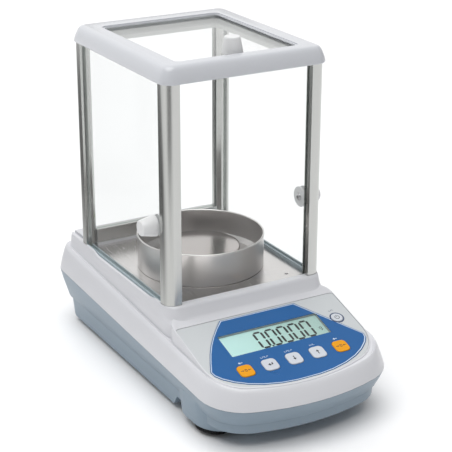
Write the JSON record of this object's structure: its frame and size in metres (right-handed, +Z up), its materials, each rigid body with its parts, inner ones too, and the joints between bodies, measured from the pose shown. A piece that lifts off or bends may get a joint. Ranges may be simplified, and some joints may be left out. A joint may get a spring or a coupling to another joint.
{
  "type": "analytical balance",
  "caption": "Laboratory balance with a glass weighing chamber on corner posts, sliding doors, round pan in a draft ring, sloping keypad with display and levelling feet.",
  "frame": {"origin": "middle of the footprint on the table surface, under the middle of the base", "axes": "+X to the right of the user, +Y from the keypad towards the rear, +Z up"},
  "size_m": [0.1954, 0.372, 0.3419],
  "materials": {
    "shell_plastic": "satin light grey-white moulding",
    "base_plastic": "satin blue-grey moulding",
    "cap_plastic": "smooth cool grey-white moulding",
    "frame_plastic": "satin mid grey moulding",
    "track_plastic": "satin blue-grey channel",
    "knob_plastic": "smooth light grey moulding",
    "overlay_film": "fine textured light grey film",
    "label_film": "fine textured blue film",
    "key_orange": "orange key cap with dark marks",
    "key_grey": "light grey key cap with dark marks",
    "display_face": "pale aqua display face with black segments",
    "clear_glass": "clear polished pane",
    "circuit_board": "green laminate",
    "stainless": "brushed stainless sheet",
    "post_aluminium": "satin anodised extrusion",
    "cell_aluminium": "milled aluminium",
    "bright_steel": "bright steel",
    "magnet_iron": "dark iron pot",
    "dark_plastic": "black moulding",
    "wheel_plastic": "black knurled moulding",
    "foot_rubber": "matt black rubber"
  },
  "bodies": {
    "housing": {"lower_housing": "base_plastic", "upper_housing": "shell_plastic", "control_overlay": "overlay_film", "keypad_label": "label_film", "lcd_window": "clear_glass", "lcd_module": "display_face", "keypad_board": "circuit_board", "stage_plate": "stainless", "left_door_track": "track_plastic", "right_door_track": "track_plastic", "post_front_left": "post_aluminium", "post_rear_left": "post_aluminium", "post_front_right": "post_aluminium", "post_rear_right": "post_aluminium", "front_glass": "clear_glass", "rear_glass": "clear_glass", "rear_rail": "post_aluminium", "top_frame": "frame_plastic", "top_cap": "cap_plastic", "pan_carrier": "bright_steel", "cell_base": "cell_aluminium", "cell_hanger": "cell_aluminium", "cell_guide_upper": "bright_steel", "cell_guide_lower": "bright_steel", "cell_lever": "cell_aluminium", "magnet_pot": "magnet_iron", "main_board": "circuit_board", "serial_port": "bright_steel", "power_inlet": "dark_plastic", "level_body": "dark_plastic", "level_vial": "clear_glass", "rear_foot_left": "foot_rubber", "rear_foot_right": "foot_rubber"},
    "left_door": {"left_door_glass": "clear_glass", "left_door_knob": "knob_plastic", "left_door_washer": "knob_plastic", "left_door_screw": "bright_steel"},
    "right_door": {"right_door_glass": "clear_glass", "right_door_knob": "knob_plastic", "right_door_washer": "knob_plastic", "right_door_screw": "bright_steel"},
    "top_door": {"top_door_glass": "clear_glass", "top_door_knob": "knob_plastic", "top_door_washer": "knob_plastic", "top_door_screw": "bright_steel"},
    "pan": {"weighing_pan": "stainless"},
    "ring": {"draft_ring": "stainless"},
    "key_tare_left_cap": {"key_tare_left": "key_orange"},
    "key_enter_cap": {"key_enter": "key_grey"},
    "key_down_cap": {"key_down": "key_grey"},
    "key_up_cap": {"key_up": "key_grey"},
    "key_tare_right_cap": {"key_tare_right": "key_orange"},
    "key_power_cap": {"key_power": "key_grey"},
    "level_foot_left": {"level_wheel_left": "wheel_plastic", "level_pad_left": "foot_rubber"},
    "level_foot_right": {"level_wheel_right": "wheel_plastic", "level_pad_right": "foot_rubber"}
  },
  "joints": [
    {"name": "left_door_slide", "type": "slide", "parent": "housing", "child": "left_door", "axis": [0, 1, 0], "range_m": [0, 0.14]},
    {"name": "right_door_slide", "type": "slide", "parent": "housing", "child": "right_door", "axis": [0, 1, 0], "range_m": [0, 0.14]},
    {"name": "top_door_slide", "type": "slide", "parent": "housing", "child": "top_door", "axis": [0, 1, 0], "range_m": [0, 0.13]},
    {"name": "pan_lift", "type": "slide", "parent": "housing", "child": "pan", "axis": [0, 0, 1], "range_m": [0, 0.06]},
    {"name": "ring_lift", "type": "slide", "parent": "housing", "child": "ring", "axis": [0, 0, 1], "range_m": [0, 0.05]},
    {"name": "key_tare_left_press", "type": "slide", "parent": "housing", "child": "key_tare_left_cap", "axis": [0, 0.2823, -0.9593], "range_m": [0, 0.0006], "stiffness_N_per_m": 800, "springref_m": -0.0005},
    {"name": "key_enter_press", "type": "slide", "parent": "housing", "child": "key_enter_cap", "axis": [0, 0.2823, -0.9593], "range_m": [0, 0.0006], "stiffness_N_per_m": 800, "springref_m": -0.0005},
    {"name": "key_down_press", "type": "slide", "parent": "housing", "child": "key_down_cap", "axis": [0, 0.2823, -0.9593], "range_m": [0, 0.0006], "stiffness_N_per_m": 800, "springref_m": -0.0005},
    {"name": "key_up_press", "type": "slide", "parent": "housing", "child": "key_up_cap", "axis": [0, 0.2823, -0.9593], "range_m": [0, 0.0006], "stiffness_N_per_m": 800, "springref_m": -0.0005},
    {"name": "key_tare_right_press", "type": "slide", "parent": "housing", "child": "key_tare_right_cap", "axis": [0, 0.2823, -0.9593], "range_m": [0, 0.0006], "stiffness_N_per_m": 800, "springref_m": -0.0005},
    {"name": "key_power_press", "type": "slide", "parent": "housing", "child": "key_power_cap", "axis": [0, 0.2823, -0.9593], "range_m": [0, 0.0006], "stiffness_N_per_m": 800, "springref_m": -0.0005},
    {"name": "level_foot_left_turn", "type": "hinge", "parent": "housing", "child": "level_foot_left", "pos_m": [-0.068, -0.115, 0.006], "axis": [0, 0, 1], "continuous": true},
    {"name": "level_foot_right_turn", "type": "hinge", "parent": "housing", "child": "level_foot_right", "pos_m": [0.068, -0.115, 0.006], "axis": [0, 0, 1], "continuous": true}
  ]
}
